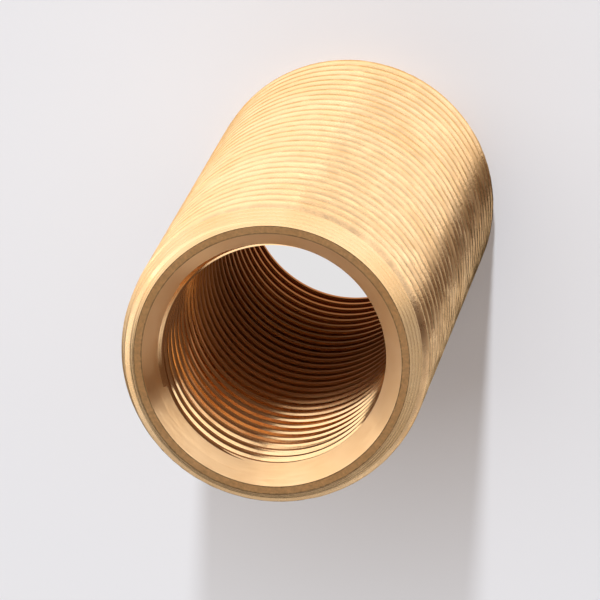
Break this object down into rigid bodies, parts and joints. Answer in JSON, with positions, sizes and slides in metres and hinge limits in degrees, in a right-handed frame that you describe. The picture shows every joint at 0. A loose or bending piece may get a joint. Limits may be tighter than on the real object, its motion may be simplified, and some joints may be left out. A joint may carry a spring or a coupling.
{
  "type": "thread adapter",
  "caption": "Round brass sleeve with a fine thread along its outside and a smaller fine thread through its bore, chamfered outside and countersunk inside at both ends.",
  "frame": {"origin": "centre of the sleeve's lower end face, which it stands on", "axes": "+Z along the sleeve's axis, from the lower end to the upper end; X and Y are across it, and every direction across it is alike apart from where the threads start"},
  "size_m": [0.0138, 0.0138, 0.03],
  "materials": {
    "brass": "machined, uncoated, slightly rough"
  },
  "bodies": {
    "root": {"threaded_sleeve": "brass"}
  },
  "joints": []
}
